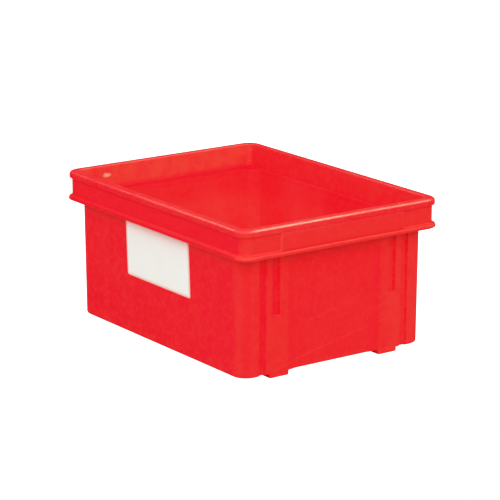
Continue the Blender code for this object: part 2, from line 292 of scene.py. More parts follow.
def section_corners():
    """The section's corners, from the middle of the floor up, over the rim and back under.

    Each is ((end inset, side inset, plan radius, height), fillet, fillet steps, tag).
    """
    def rim(inset, z, fillet=0.0, steps=0, tag=""):
        return (inset, inset, RIM_RADIUS - RIM_RADIUS_LOSS * inset, z), fillet, steps, tag

    def inside(z, fillet=0.0, steps=0, further=0.0, radius=WALL_RADIUS - WALL):
        end = END_INSET + PANEL_DEPTH + WALL - 0.1 + draft(z) + further
        return (end, SIDE_INSET + WALL + draft(z) + further, radius, z), fillet, steps, ""

    def outside(z, fillet=0.0, steps=0):
        return (END_INSET + draft(z), SIDE_INSET + draft(z), WALL_RADIUS, z), fillet, steps, "wall"

    def beneath(end, side, radius, z, fillet=0.0, steps=0):
        return (END_INSET + end, SIDE_INSET + side, radius, z), fillet, steps, ""

    return [
        # floor and inner wall
        inside(FLOOR_TOP, further=26, radius=5.0),
        inside(FLOOR_TOP, further=12, radius=9.0),
        inside(FLOOR_TOP, further=6.2, radius=12.0),
        inside(FLOOR_TOP, INNER_FILLET, 7),
        *[inside(z) for z in (24, 44, 64, 84, 104, 124, 144, 156)],
        # ledge, the rim's inner face, its top and lip
        inside(LEDGE_Z, 1.0, 4),
        rim(RIM_INNER_INSET + 0.9, LEDGE_Z, 1.1, 4),
        rim(RIM_INNER_INSET + 0.45, HEIGHT - 16),
        rim(RIM_INNER_INSET, HEIGHT, 2.6, 8),
        rim(10.3, HEIGHT),
        rim(LIP_INSET, HEIGHT, 7.4, 15),
        rim(LIP_INSET, HEIGHT - LIP_DROP, 1.2, 5),
        # groove and bead
        rim(GROOVE_INSET, HEIGHT - LIP_DROP - 1.5, 1.4, 5, "groove"),
        rim(GROOVE_INSET, HEIGHT - 14.0, tag="groove"),
        rim(GROOVE_INSET, HEIGHT - 22.0, tag="groove"),
        rim(GROOVE_INSET, HEIGHT - 30.6, 1.8, 6, "groove"),
        rim(0.0, HEIGHT - 33.0, 2.0, 8),
        rim(0.0, BEAD_Z, 3.6, 10),
        # the hollow under the rim
        rim(SKIRT_INNER_INSET, BEAD_Z, 0.9, 3),
        rim(SKIRT_INNER_INSET, HEIGHT - HOLLOW_DROP, 0.7, 2),
        rim(LEG_INSET, HEIGHT - HOLLOW_DROP, 0.7, 2),
        rim(LEG_INSET + 1.2, LEDGE_UNDER, 1.2, 3),
        # outer wall
        beneath(0.0, 0.0, WALL_RADIUS, LEDGE_UNDER, 1.3, 4),
        *[outside(z) for z in (
            156.6, 156.0, 155.4, 154.9, 153.0, 148.0, 138.0, 120.0, 100.0, 86.0, 79.0, 78.2,
            77.7, 77.2, 76.8, 76.3, 75.8, 75.0, 66.0, 50.0, 34.0, 20.0, 12.0)],
        outside(FOOT_HEIGHT, BOTTOM_FILLET, 6),
        # underside, with the floor set up inside a border
        beneath(12.5, 9.0, 14.0, FOOT_HEIGHT),
        beneath(16.0, 12.0, 12.0, FOOT_HEIGHT, 0.5, 2),
        beneath(17.3, 13.3, 11.0, FLOOR_UNDER, 0.5, 2),
        beneath(19.5, 15.5, 10.0, FLOOR_UNDER),
    ]


def rounded(before, corner, after, fillet, steps):
    """Rows along a conic arc that rounds one corner of the section."""
    end, side, _, z = corner

    def share(other):
        # the tighter of the two plan directions sets the fillet's length
        length = min(math.hypot(other[0] - end, other[3] - z),
                     math.hypot(other[1] - side, other[3] - z))
        return min(fillet / length, 0.49)

    to_before, to_after = share(before), share(after)
    start = [c + (b - c) * to_before for c, b in zip(corner, before)]
    stop = [c + (a - c) * to_after for c, a in zip(corner, after)]
    arm_before = Vector((before[0] - end, before[3] - z))
    arm_after = Vector((after[0] - end, after[3] - z))
    weight = math.sin(arm_before.angle(arm_after) / 2)
    rows = []
    for i in range(steps + 1):
        t = i / steps
        w0, w1, w2 = (1 - t) ** 2, 2 * weight * t * (1 - t), t * t
        total = w0 + w1 + w2
        rows.append([(s * w0 + c * w1 + e * w2) / total for s, c, e in zip(start, corner, stop)])
    return rows


def skin():
    bm = bmesh.new()
    corners = section_corners()
    rings = []
    for i, (corner, fillet, steps, tag) in enumerate(corners):
        rows = [corner]
        if fillet:
            rows = rounded(corners[i - 1][0], corner, corners[i + 1][0], fillet, steps)
        for row in rows:
            z = row[3]
            rings.append([bm.verts.new((x * MM, y * MM, z * MM)) for x, y in ring(*row, tag)])
    loft(bm, rings, along_first=False)
    bm.faces.new(rings[0])
    bm.faces.new(list(reversed(rings[-1])))
    return link_closed("bin_body_skin", bm)


# ================= parts joined into the body ===========================================

# (height, inset) of a foot's levels, from inside the floor down to the ground
FOOT_LEVELS = ((FLOOR_TOP - 1.0, 0.0), (3.0, 0.0), (1.3, 0.05), (0.75, 0.2), (0.35, 0.5),
               (0.1, 0.85), (0.0, 1.2))


def feet():
    """Four low blocks with rounded edges."""
    bm = bmesh.new()
    outer = LENGTH / 2 - END_INSET - DRAFT * 0.6
    inner = outer - FOOT_RUN
    for end in (1, -1):
        for side in (1, -1):
            rings = []
            for z, inset in FOOT_LEVELS:
                radius = 1.9 - 0.5 * inset
                half_x = (outer - inner) / 2 - inset - radius
                half_y = (FOOT_OUT - FOOT_IN) / 2 - inset - radius
                level = []
                for k, (sign_x, sign_y) in enumerate(QUADRANTS):
                    centre_x = (inner + outer) / 2 + sign_x * half_x
                    centre_y = (FOOT_IN + FOOT_OUT) / 2 + sign_y * half_y
                    for x, y in corner_arc(k, centre_x, centre_y, radius, FOOT_ARC):
                        level.append(bm.verts.new((end * x * MM, side * y * MM, z * MM)))
                rings.append(level)
            loft(bm, rings, along_first=True)
            bm.faces.new(rings[0])
            bm.faces.new(rings[-1])
    return link_closed("tool_feet", bm)


def rim_webs(name, count, wall_inset, half, along_x):
    """Upright webs between skirt and wall, spaced along x or y, on both sides."""
    bm = bmesh.new()
    foot = WALL_TOP + 0.1
    # (inset, height)
    outline = [
        (SKIRT_INNER_INSET - 0.7, foot),
        (wall_inset + 0.7, foot),
        (wall_inset + 0.7, LEDGE_UNDER + 0.6),
        (LEG_INSET + 1.5, LEDGE_UNDER + 2.6),
        (LEG_INSET + 0.8, HEIGHT - 4.0),
        (SKIRT_INNER_INSET - 0.7, HEIGHT - 4.0),
    ]
    for side in (1, -1):
        for k in range(count):
            at = (k - (count - 1) / 2) * WEB_PITCH

            def place(inset, z, t):
                across = side * (half - inset)
                return (at + t, across, z) if along_x else (across, at + t, z)

            prism(bm, outline, place, -WEB_THICK / 2, WEB_THICK / 2)
    return link(name, bm)


def floor_ribs(name, count, along_x):
    """Ribs under the floor, spread evenly over it."""
    bm = bmesh.new()
    half_x = LENGTH / 2 - END_INSET - 15.0
    half_y = WIDTH / 2 - SIDE_INSET - 11.0
    spread = half_y if along_x else half_x
    pitch = 2 * spread / (count + 1)
    bottom = FOOT_HEIGHT + (0.15 if along_x else 0.3)
    for k in range(count):
        at = (k + 1) * pitch - spread
        x0, x1, y0, y1 = -half_x, half_x, -half_y, half_y
        if along_x:
            y0, y1 = at - FLOOR_RIB / 2, at + FLOOR_RIB / 2
        else:
            x0, x1 = at - FLOOR_RIB / 2, at + FLOOR_RIB / 2
        outline = [(x0, y0), (x1, y0), (x1, y1), (x0, y1)]
        prism(bm, outline, lambda x, y, z: (x, y, z), bottom, FLOOR_TOP - 0.8)
    return link(name, bm)


def join(obj, tools):
    """Joins the tools into obj, keeps the result as a plain mesh and removes the tools."""
    for tool in tools:
        union = obj.modifiers.new(tool.name, "BOOLEAN")
        union.operation = "UNION"
        union.solver = "EXACT"
        union.object = tool
    bpy.context.view_layer.update()
    graph = bpy.context.evaluated_depsgraph_get()
    mesh = bpy.data.meshes.new_from_object(obj.evaluated_get(graph))
    obj.modifiers.clear()
    old = obj.data
    obj.data = mesh
    bpy.data.meshes.remove(old)
    mesh.name = obj.name
    for tool in tools:
        data = tool.data
        bpy.data.objects.remove(tool)
        bpy.data.meshes.remove(data)


def mark_edge_turn(bm):
    """Stores how the surface turns at each point: above 0.5 on outer edges, below in corners."""
    shortest, longest = 1e-7, 0.012    # edges used, in metres
    full_turn = 900.0                  # curvature per metre that reaches 0 or 1
    layer = bm.verts.layers.float.new("edge_turn")
    for vert in bm.verts:
        total, count = 0.0, 0
        for edge in vert.link_edges:
            other = edge.other_vert(vert)
            step = other.co - vert.co
            length = step.length
            if length < shortest or length > longest:
                continue
            total += (other.normal - vert.normal).dot(step) / (length * length)
            count += 1
        mean = total / count if count else 0.0
        vert[layer] = 0.5 + 0.5 * max(-1.0, min(1.0, mean / full_turn))


def clean_up(mesh):
    bm = bmesh.new()
    bm.from_mesh(mesh)
    bmesh.ops.remove_doubles(bm, verts=bm.verts[:], dist=0.000002)
    bmesh.ops.dissolve_degenerate(bm, edges=bm.edges[:], dist=0.000001)
    bmesh.ops.triangulate(bm, faces=[f for f in bm.faces if len(f.verts) > 4])
    bm.normal_update()
    mark_edge_turn(bm)
    bm.to_mesh(mesh)
    bm.free()


def bin_body():
    body = skin()
    join(body, [
        feet(),
        rim_webs("tool_webs_x", SIDE_WEBS, SIDE_INSET, WIDTH / 2, along_x=True),
        rim_webs("tool_webs_y", END_WEBS, END_INSET, LENGTH / 2, along_x=False),
        floor_ribs("tool_ribs_x", LONG_RIBS, along_x=True),
        floor_ribs("tool_ribs_y", CROSS_RIBS, along_x=False),
    ])
    clean_up(body.data)
    return body


# ================= the label ============================================================

def sheet(name, grow, low, high, lift):
    """A thin rounded sheet on the -Y wall, from low to high off it.

    lift(u, v) raises it a little, with u and v from -1 to 1 across and up the sheet.
    """
    half_w = LABEL_WIDTH / 2 + grow
    half_h = LABEL_HEIGHT / 2 + grow
    thick = high - low
    # (inset from the outline, distance off the wall), from the back round to the front
    levels = [
        (24.0, low), (6.0, low), (0.35, low), (0.0, low + thick * 0.35), (0.0, low + thick * 0.7),
        (0.12, high - 0.02), (0.4, high), (2.0, high), (6.0, high), (12.0, high), (18.0, high),
        (24.0, high),
    ]
    bm = bmesh.new()

    def outline(inset):
        radius = max(0.8, LABEL_RADIUS + grow - inset * 0.6)
        w, h = half_w - inset, half_h - inset
        points = []
        for k, (sign_x, sign_z) in enumerate(QUADRANTS):
            points += corner_arc(k, sign_x * (w - radius), sign_z * (h - radius), radius,
                                 LABEL_ARC)
            way = -1 if k < 2 else 1
            if k % 2 == 0:
                points += [(way * (-1 + 2 * i / 21) * (w - radius), sign_z * h)
                           for i in range(1, 21)]
            else:
                points += [(sign_x * w, way * (-1 + 2 * i / 11) * (h - radius))
                           for i in range(1, 11)]
        return points

    def vertex(across, rise, off):
        z = LABEL_Z + rise
        y = -(WIDTH / 2 - SIDE_INSET - draft(z)) - off - lift(across / half_w, rise / half_h)
        slant = LABEL_SKEW * rise / LABEL_HEIGHT
        return bm.verts.new(((LABEL_X + across - slant) * MM, y * MM, z * MM))

    rings = [[vertex(u, v, off) for u, v in outline(inset)] for inset, off in levels]
    loft(bm, rings, along_first=True)
    bm.faces.new(rings[0])
    bm.faces.new(rings[-1])
    return link_closed(name, bm)


def paper_lift(u, v):
    """The label lies flat but for one loose corner and a slight swell."""
    swell = 0.05 * (1 - u * u) * (1 - v * v) * (1 + math.sin(5 * u + 2 * v))
    corner = max(0.0, u - 0.86) / 0.14 * max(0.0, v - 0.74) / 0.26
    return swell + 0.30 * corner * corner


def no_lift(u, v):
    return 0.0


# ================= node helpers =========================================================

def operator(operation, swapped=False):
    def apply(self, other=0.0):
        operands = (other, self) if swapped else (self, other)
        return self.graph.math(operation, *operands)
    return apply


class Value:
    """A node's output; arithmetic on it adds one Math node for each operation."""

    def __init__(self, graph, socket):
        self.graph = graph
        self.socket = socket

    __add__ = operator("ADD")
    __radd__ = operator("ADD", swapped=True)
    __sub__ = operator("SUBTRACT")
    __rsub__ = operator("SUBTRACT", swapped=True)
    __mul__ = operator("MULTIPLY")
    __truediv__ = operator("DIVIDE")
    __pow__ = operator("POWER")
    __abs__ = operator("ABSOLUTE")
    sqrt = operator("SQRT")
    max = operator("MAXIMUM")
    min = operator("MINIMUM")

    def ramp(self, start, stop, first=0.0, last=1.0):
        """A smooth step: `first` where the value is at start, `last` where it is at stop."""
        node = self.graph.node("ShaderNodeMapRange", interpolation_type="SMOOTHSTEP")
        for socket, value in zip(node.inputs, (self, start, stop, first, last)):
            self.graph.put(socket, value)
        return self.graph.value(node)


class Graph:
    """Short names for building a node tree."""

    def __init__(self, tree):
        self.tree = tree

    def node(self, kind, **settings):
        node = self.tree.nodes.new(kind)
        for key, value in settings.items():
            setattr(node, key, value)
        return node

    def value(self, node, output=0):
        return Value(self, node.outputs[output])

    def put(self, socket, value):
        if isinstance(value, Value):
            self.tree.links.new(value.socket, socket)
        elif isinstance(value, tuple) and socket.type == "RGBA":
            socket.default_value = (*value, 1.0)
        else:
            socket.default_value = value

    def filled(self, kind, inputs, **settings):
        """The first output of a new node whose inputs are given by name or number."""
        node = self.node(kind, **settings)
        for key, value in inputs.items():
            self.put(node.inputs[key], value)
        return self.value(node)

    def math(self, operation, a, b=0.0, clamp=False):
        return self.filled("ShaderNodeMath", {0: a, 1: b, 2: 0.0},
                           operation=operation, use_clamp=clamp)

    def components(self, vector):
        node = self.node("ShaderNodeSeparateXYZ")
        self.put(node.inputs[0], vector)
        return [self.value(node, i) for i in range(3)]

    def rays(self):
        """Whether the ray comes from the camera, and whether it is a glossy one."""
        path = self.node("ShaderNodeLightPath")
        return self.value(path, "Is Camera Ray"), self.value(path, "Is Glossy Ray")

    def mix_shader(self, factor, first, second):
        return self.filled("ShaderNodeMixShader", {0: factor, 1: first, 2: second})


class Material(Graph):
    def __init__(self, name):
        self.mat = bpy.data.materials.new(name)
        self.mat.use_nodes = True
        super().__init__(self.mat.node_tree)
        self.bsdf = self.tree.nodes["Principled BSDF"]
        self.place = self.value(self.node("ShaderNodeTexCoord"), "Object")

    def shade(self, inputs):
        for name, value in inputs.items():
            self.put(self.bsdf.inputs[name], value)

    def mix(self, factor, first, second):
        # sockets 6 and 7 are the mix node's two colours
        node = self.node("ShaderNodeMix", data_type="RGBA")
        self.put(node.inputs["Factor"], factor)
        self.put(node.inputs[6], first)
        self.put(node.inputs[7], second)
        return self.value(node, 2)

    def noise(self, scale, detail=3.0, rough=0.6, stretch=None, distort=0.0):
        """Noise over the object; stretch gives its scale along x, y and z."""
        vector = self.place
        if stretch:
            vector = self.filled("ShaderNodeMapping", {"Vector": vector, "Scale": stretch})
        return self.filled("ShaderNodeTexNoise", {
            "Vector": vector, "Scale": scale, "Detail": detail, "Roughness": rough,
            "Distortion": distort})

    def bump(self, height, strength, distance, normal=None):
        inputs = {"Strength": strength, "Distance": distance, "Height": height}
        if normal is not None:
            inputs["Normal"] = normal
        return self.filled("ShaderNodeBump", inputs)


# ================= the bin's plastic ====================================================

# Pale lines on the +X end, painted reflections that are also cut in as scratches, in millimetres:
# start (y, z), stop (y, z), half width, strength
REFLECTION_SCRATCHES = (
    ((-95.3, 8.4), (10.0, 30.3), 0.55, 0.9),
    ((6.0, 29.3), (64.0, 41.3), 0.6, 0.8),
    ((60.0, 40.3), (95.0, 49.9), 0.6, 0.8),
    ((91.0, 48.7), (122.0, 57.1), 0.6, 0.7),
    ((-47.0, 59.0), (17.0, 73.4), 0.6, 0.65),
    ((13.0, 72.5), (46.0, 82.6), 0.5, 0.6),
    ((43.0, 57.4), (93.0, 68.1), 0.55, 0.7),
    ((-60.0, 33.0), (-18.0, 42.0), 0.4, 0.35),
    ((30.0, 96.0), (52.0, 108.0), 0.35, 0.3),
)
REFLECTION_SCRATCH_FADE = 12.0
# Handling scuffs: stretch of the streaks, scale of their patches, noise level where they start
SCUFFS = (
    ((900.0, 60.0, 900.0), 20.0, 0.56),
    ((60.0, 900.0, 700.0), 17.0, 0.55),
)
# Painted glint on the inner face of the -X rim: (centre, half size) in millimetres
GLINT_Y = (-91.5, 7.0)
GLINT_Z = (179.2, 3.3)


class BinPlastic(Material):
    """Red plastic. Each method tints the colour in turn; masks run from 0 to 1.

    Numbers given to ramp() are metres for x, y, z and distances, and plain values for normals,
    noise and edge turn.
    """

    def __init__(self):
        super().__init__("bin_red_polypropylene")
        self.x, self.y, self.z = self.components(self.place)
        geometry = self.node("ShaderNodeNewGeometry")
        self.nx, self.ny, self.nz = self.components(self.value(geometry, "Normal"))
        turn = self.node("ShaderNodeAttribute", attribute_name="edge_turn")
        self.turn = self.value(turn, "Fac")
        self.patch = self.noise(55.0, detail=4.0, rough=0.7)
        self.fleck = self.noise(620.0, detail=2.0)
        # above 0 on faces that look away from the bin's axis, below 0 on inner ones
        self.facing = self.x * self.nx + self.y * self.ny

    def tint(self, mask, colour, strength=None):
        if strength is not None:
            mask = mask * strength
        self.red = self.mix(mask, self.red, colour)

    def inward(self):
        return self.facing.ramp(-0.01, -0.05)

    def outward(self):
        return self.facing.ramp(0.02, 0.06)

    def far_outward(self):
        return self.facing.ramp(0.05, 0.10)

    def layer(self, rise, fall):
        """1 between two heights, each given as the pair it fades over."""
        return self.z.ramp(*rise) * self.z.ramp(*fall)

    def patchy(self, first, last):
        return self.patch.ramp(0.3, 0.6, first, last)

    def pigment(self):
        """Pigment clouds, fine mottling and flow streaks down the walls."""
        clouds = self.noise(9.0, detail=4.0)
        mottle = self.noise(170.0, detail=4.0, rough=0.65)
        flow = self.noise(1.0, rough=0.5, stretch=(60.0, 60.0, 5.0))
        self.red = self.mix(clouds.ramp(0.35, 0.68), (0.76, 0.0020, 0.0200),
                            (0.83, 0.0052, 0.0220))
        self.tint(mottle.ramp(0.44, 0.62, last=0.78), colour=(0.88, 0.0265, 0.030))
        self.tint(self.fleck.ramp(0.46, 0.68, last=0.55), colour=(0.76, 0.004, 0.018))
        self.tint(flow.ramp(0.45, 0.75, last=0.25), colour=(0.90, 0.022, 0.020))

    def edges(self):
        """Rubbed outer edges, most of all on the rim, and painted shade darkening the concave
        creases.
        """
        worn = self.turn.ramp(0.55, 0.85) * self.patch.ramp(0.36, 0.62)
        self.worn = worn * self.z.ramp(0.163, 0.182, first=0.10)
        self.tint(self.worn, strength=0.34, colour=(0.96, 0.105, 0.060))
        # painted shade: concave creases and recesses are darkened as if shaded
        crease_painted_shade = self.turn.ramp(0.45, 0.2) * self.patch.ramp(0.3, 0.7, first=0.35)
        self.tint(crease_painted_shade, strength=0.10, colour=(0.52, 0.004, 0.012))

    def reflection_scratch(self, start, stop, width, strength):
        """One straight line, a painted reflection also cut in as a scratch, faded at both ends."""
        (y0, z0), (y1, z1) = start, stop
        length = math.hypot(y1 - y0, z1 - z0)
        unit_y, unit_z = (y1 - y0) / length, (z1 - z0) / length
        dy = self.y - y0 * MM
        dz = self.z - z0 * MM
        along = dy * unit_y + dz * unit_z
        off = abs(dz * unit_y - dy * unit_z)
        line = off.ramp(0.0, width * MM, first=1.0, last=0.0)
        begin = along.ramp(0.0, REFLECTION_SCRATCH_FADE * MM)
        end = along.ramp((length - REFLECTION_SCRATCH_FADE) * MM, length * MM, first=1.0, last=0.0)
        return line * (begin * end) * strength

    def reflection_scratches_and_scuffs(self):
        """Long painted reflection lines, also cut in as scratches, on the +X end and shorter
        handling scuffs all round.
        """
        lines = functools.reduce(Value.max, [self.reflection_scratch(*row) for row in REFLECTION_SCRATCHES])
        lines = lines * self.nx.ramp(0.55, 0.85)
        lines = lines * self.noise(240.0, rough=0.7).ramp(0.34, 0.56, first=0.35)
        scuffs = []
        for stretch, patch_scale, patch_start in SCUFFS:
            streaks = self.noise(1.0, detail=2.0, rough=0.5, stretch=stretch, distort=0.6)
            patches = self.noise(patch_scale, detail=2.0, rough=0.5).ramp(patch_start, 0.72)
            scuffs.append(patches * streaks.ramp(0.62, 0.72))
        self.marks = lines.max(scuffs[0].max(scuffs[1]) * 0.35)
        # painted reflection: the long lines are tinted pale as reflected light; the scuffs are
        # wear
        self.tint(self.marks, strength=0.72, colour=(0.97, 0.17, 0.10))

    def inside(self):
        """Painted light lifting the inner faces as a thin pale haze, left off in stretches of the
        long walls, and painted shade on the ledge.
        """
        x, y, z, nz = self.x, self.y, self.z, self.nz
        within = self.inward().max(nz.ramp(0.6, 0.9) * z.ramp(0.165, 0.160))
        self.within_ledge = abs(x).ramp(0.189, 0.187) * abs(y).ramp(0.139, 0.137)
        # painted light: a pale haze that lifts the inner faces
        haze = self.noise(14.0, detail=4.0).ramp(0.30, 0.70, first=0.45)
        # x with a wavering border
        drift = x + (self.noise(16.0) - 0.5) * 0.09
        plus_x_part = drift.ramp(-0.045, 0.015, last=0.80)
        upper_part = z.ramp(0.160, 0.164, last=0.75)
        minus_x_part = drift.ramp(-0.195, -0.140) * drift.ramp(-0.130, -0.060, 0.60, 0.0)
        painted_light_off = abs(self.ny).ramp(0.5, 0.85) * plus_x_part.max(upper_part).max(minus_x_part)
        haze = haze * (1.0 - painted_light_off)
        self.tint(within * (haze * 0.75), colour=(0.86, 0.037, 0.050))

        # painted light, stronger low down inside
        deep_painted_light = self.inward() * z.ramp(0.145, 0.112) * (1.0 - painted_light_off * 0.9)
        deep_painted_light = deep_painted_light * self.noise(34.0, detail=5.0, rough=0.7).ramp(0.30, 0.70, first=0.3)
        self.tint(deep_painted_light, strength=0.8, colour=(0.88, 0.062, 0.058))

        # painted light on the inner band of the rim, strongest on the short ends
        inner_rim_painted_light = self.inward() * abs(self.nx).ramp(0.3, 0.8, first=0.12) * z.ramp(0.163, 0.169)
        inner_rim_painted_light = inner_rim_painted_light * self.noise(60.0, detail=4.0, rough=0.7).ramp(0.34, 0.62, first=0.35)
        self.tint(inner_rim_painted_light, strength=0.70, colour=(0.90, 0.078, 0.050))

        # painted shade: the ledge's top is darkened to hold back the light it catches
        self.ledge = nz.ramp(0.35, 0.7) * self.layer((0.154, 0.157), (0.1650, 0.1625))
        self.tint(self.ledge * self.within_ledge, strength=0.85, colour=(0.66, 0.004, 0.016))

    def ends(self):
        """Painted light and shade on the ends: proud faces and corners are painted paler as lit,
        and the narrow recesses and the bead's upper side are painted deeper as shaded.
        """
        x, z = self.x, self.z
        end = abs(self.nx).ramp(0.55, 0.85) * z.ramp(0.154, 0.152) * self.far_outward()
        self.end = end
        # how far a point of the end lies behind the drafted outer skin
        wall_run = WALL_TOP - FOOT_HEIGHT
        skin_at_ground = (LENGTH / 2 - END_INSET - DRAFT * WALL_TOP / wall_run) * MM
        sunk = skin_at_ground + z * (DRAFT / wall_run) - abs(x)
        self.across = across = abs(self.y)
        proud = end * sunk.ramp(0.0009, 0.0003)
        recess_shade = end * sunk.ramp(0.0005, 0.0013) * across.ramp(0.054, 0.058)
        corner = abs(x).ramp(0.160, 0.172) * across.ramp(0.116, 0.128)
        corner = corner * self.far_outward() * z.ramp(0.154, 0.152)
        rim_corner = abs(x).ramp(0.180, 0.190) * across.ramp(0.130, 0.140)
        rim_corner = rim_corner * self.far_outward() * z.ramp(0.154, 0.157)
        self.rim_corner = rim_corner
        # painted light: proud faces, wall corners and rim corners are made paler as highlights
        pale = proud.max(corner).max(rim_corner)
        # painted shade: the bead's upper side under the groove is darkened to hold back the light
        # it catches
        bead_top_shade = self.layer((0.1560, 0.1580), (0.1660, 0.1630)) * self.outward()
        bead_top_shade = bead_top_shade * (1.0 - rim_corner * 0.8)
        self.tint(bead_top_shade, strength=0.80, colour=(0.76, 0.0042, 0.017))
        self.tint(pale * self.patchy(0.25, 0.60), colour=(0.88, 0.034, 0.026))
        # painted shade in the narrow recesses
        self.tint(recess_shade, strength=0.42, colour=(0.78, 0.0045, 0.021))
        panel = end * across.ramp(0.074, 0.058)
        self.tint(panel * self.patchy(0.18, 0.50), colour=(0.88, 0.0235, 0.0265))

    def rim_band(self):
        """The rim's outer band, with painted light and shade: paler on the short ends as lit,
        redder on the long sides to make up for their shade.
        """
        x, nx, ny = self.x, self.nx, self.ny
        band = self.layer((0.159, 0.162), (0.184, 0.181)) * self.outward()
        # painted light: the band on the short ends is made paler, the shaded band on the long
        # sides redder
        on_end = abs(nx).ramp(0.5, 0.9, last=0.46).max(abs(x).ramp(0.1940, 0.1957, last=0.46))
        self.tint(band * on_end, colour=(0.88, 0.036, 0.026))
        on_side = band * abs(x).ramp(0.188, 0.184) * abs(ny).ramp(0.5, 0.9, last=0.60)
        self.tint(on_side, colour=(0.92, 0.0045, 0.020))
        # painted light on the step at either side of the grip, against its shade
        step = abs(x).ramp(0.1945, 0.1957) * abs(ny).ramp(0.15, 0.45)
        step = step * (band * self.across.ramp(0.100, 0.096))
        self.tint(step, strength=0.55, colour=(0.94, 0.075, 0.050))

    def bead(self):
        """Painted light: the wall just under the bead and the bead's underside are painted paler
        against the bead's shade, and its edge carries a painted highlight.
        """
        under = self.layer((0.136, 0.149), (0.157, 0.1565)) * self.outward()
        on_wall = abs(self.x).ramp(0.188, 0.1865) * abs(self.y).ramp(0.1425, 0.141)
        self.tint(under * on_wall, strength=0.60, colour=(0.90, 0.036, 0.036))
        turned = self.nz.ramp(-0.10, -0.55) * self.layer((0.1500, 0.1535), (0.1590, 0.1580))
        turned = turned * self.facing.ramp(0.0, 0.03)
        self.tint(turned, strength=0.70, colour=(0.92, 0.055, 0.048))
        # painted highlight along the bead's edge
        edge = self.layer((0.1560, 0.1572), (0.1600, 0.1590)) * self.outward()
        edge = edge * abs(self.nx).ramp(0.45, 0.70).max(self.rim_corner * 1.0)
        self.tint(edge * self.patchy(0.22, 0.42), colour=(0.94, 0.085, 0.060))

    def end_recess_light(self):
        """The recesses on the +Y half of an end are painted paler than those on the -Y half:
        painted light that thins their shade.
        """
        lit_recesses = self.end * self.y.ramp(0.074, 0.086) * self.patchy(0.5, 0.85)
        self.tint(lit_recesses, strength=0.62, colour=(0.88, 0.038, 0.036))

    def painted_glint(self):
        """A painted glint on the inner face of the -X rim: a pale peach spot standing in for a
        highlight.
        """
        (centre_y, half_y), (centre_z, half_z) = GLINT_Y, GLINT_Z
        off_y = (self.y - centre_y * MM) / (half_y * MM)
        off_z = (self.z - centre_z * MM) / (half_z * MM)
        distance = (off_y ** 2.0 + off_z ** 2.0).sqrt()
        ragged = distance + (self.noise(210.0, detail=2.0) - 0.5) * 0.7
        spot = ragged.ramp(0.35, 1.10, first=1.0, last=0.0) * self.x.ramp(-0.183, -0.185)
        self.tint(spot * self.inward(), colour=(1.0, 0.44, 0.28))

    def dust(self):
        """Faint dust near the ground and on surfaces that lie flat inside."""
        low = self.z.ramp(0.0, 0.020, first=1.0, last=0.0)
        flat = self.nz.ramp(0.8, 0.98) * self.facing.ramp(0.030, 0.010)
        flat = flat * self.z.ramp(0.165, 0.160)
        dusty = (low * 0.5).max(flat) * self.noise(70.0, detail=5.0, rough=0.7).ramp(0.4, 0.75)
        self.dusty = dusty * (1.0 - self.ledge * self.within_ledge)
        self.tint(self.dusty, strength=0.16, colour=(0.80, 0.30, 0.24))

    def roughness(self):
        rough = self.noise(32.0, detail=4.0).ramp(0.3, 0.7, first=0.36, last=0.46)
        rough = rough + self.fleck.ramp(0.3, 0.7, first=-0.02, last=0.03)
        rough = rough - self.worn * 0.08 + self.marks * 0.18
        return self.math("ADD", rough, self.dusty * 0.20, clamp=True)

    def sheen(self):
        """The rim's shoulder is polished by hands, most on the +X end's -Y half; the rest is
        duller."""
        x, y = self.x, self.y
        shine = x.ramp(-0.060, 0.110, first=0.17, last=0.36)
        held = y.ramp(-0.150, -0.105) * y.ramp(-0.055, 0.030, first=1.0, last=0.0)
        shine = shine + held * x.ramp(0.180, 0.186) * 0.26
        corner = abs(x).ramp(0.178, 0.190) * abs(y).ramp(0.128, 0.140)
        shine = shine * (1.0 - corner * 0.35)
        dull = 0.15 - self.layer((0.1535, 0.1555), (0.1640, 0.1615)) * 0.10
        polish = self.z.ramp(0.178, 0.184)
        return shine * polish + dull * (1.0 - polish)

    def grain(self):
        """Gentle moulding ripple, orange peel, eroded mould grain and the scratches cut in."""
        ripple = self.noise(26.0, detail=2.0, rough=0.5)
        peel = self.noise(380.0, detail=2.0, rough=0.5)
        cells = self.filled("ShaderNodeTexVoronoi", {"Vector": self.place, "Scale": 1500.0},
                            feature="SMOOTH_F1")
        normal = self.bump(ripple, strength=0.30, distance=0.0009)
        normal = self.bump(peel, strength=0.35, distance=0.00010, normal=normal)
        normal = self.bump(cells, strength=0.40, distance=0.00006, normal=normal)
        return self.bump(1.0 - self.marks, strength=0.5, distance=0.00012, normal=normal)


def bin_plastic():
    net = BinPlastic()
    net.pigment()
    net.edges()
    net.reflection_scratches_and_scuffs()
    net.inside()
    net.ends()
    net.rim_band()
    net.bead()
    net.end_recess_light()
    net.painted_glint()
    net.dust()
    net.shade({
        "Base Color": net.red,
        "Roughness": net.roughness(),
        "Specular IOR Level": net.sheen(),
        "IOR": 1.49,
        "Subsurface Weight": 0.10,
        "Subsurface Radius": (1.0, 0.18, 0.12),
        "Subsurface Scale": 0.004,
        "Normal": net.grain(),
    })
    return net.mat


# ================= the label's materials ================================================

